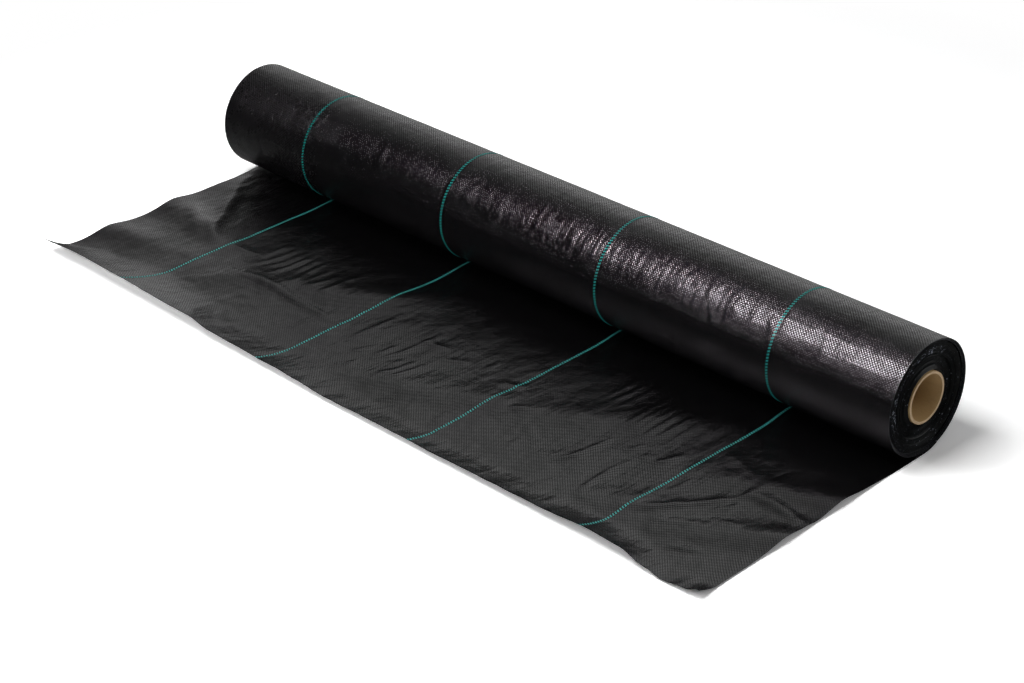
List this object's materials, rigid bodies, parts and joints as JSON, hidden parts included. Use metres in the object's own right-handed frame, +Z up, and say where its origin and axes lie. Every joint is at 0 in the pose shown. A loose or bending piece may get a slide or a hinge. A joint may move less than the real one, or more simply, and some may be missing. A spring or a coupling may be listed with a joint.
{
  "type": "weed control fabric roll",
  "caption": "Wide roll of woven black ground cover fabric on a cardboard core, partly unrolled so that a flat sheet with teal marker lines leads away over the floor.",
  "frame": {"origin": "on the floor, right under the middle of the roll's axis, where the fabric leaves the roll", "axes": "+X along the roll towards its near end, +Y away from the sheet's free edge, +Z up"},
  "size_m": [1, 0.404, 0.1277],
  "materials": {
    "core_board": "matt",
    "tape": "satin",
    "wound_fabric": "glossy woven tape",
    "outer_fabric": "glossy woven tape",
    "laid_fabric": "glossy woven tape",
    "marker_tape": "glossy woven tape"
  },
  "bodies": {
    "ground_sheet": {"laid_sheet": "laid_fabric", "sheet_marker_1": "marker_tape", "sheet_marker_2": "marker_tape", "sheet_marker_3": "marker_tape", "sheet_marker_4": "marker_tape"},
    "lead": {"lead_off": "laid_fabric"},
    "roll": {"core_tube": "core_board", "start_tape_1": "tape", "start_tape_2": "tape", "start_tape_3": "tape", "wound_fabric": "wound_fabric", "outer_turns": "outer_fabric", "roll_marker_1": "marker_tape", "roll_marker_2": "marker_tape", "roll_marker_3": "marker_tape", "roll_marker_4": "marker_tape"}
  },
  "joints": [
    {"name": "roll_travel", "type": "slide", "parent": "ground_sheet", "child": "lead", "axis": [0, 1, 0], "range_m": [-0.0986, 0.1972], "deforming": ["laid_sheet", "sheet_marker_1", "sheet_marker_2", "sheet_marker_3", "sheet_marker_4"]},
    {"name": "roll_turn", "type": "hinge", "parent": "lead", "child": "roll", "pos_m": [0, 0, 0.0642], "axis": [1, 0, 0], "range_deg": [-180, 90]}
  ],
  "couplings": [
    {"joint": "roll_turn", "follows": "roll_travel", "rad_per_m": -15.924}
  ]
}
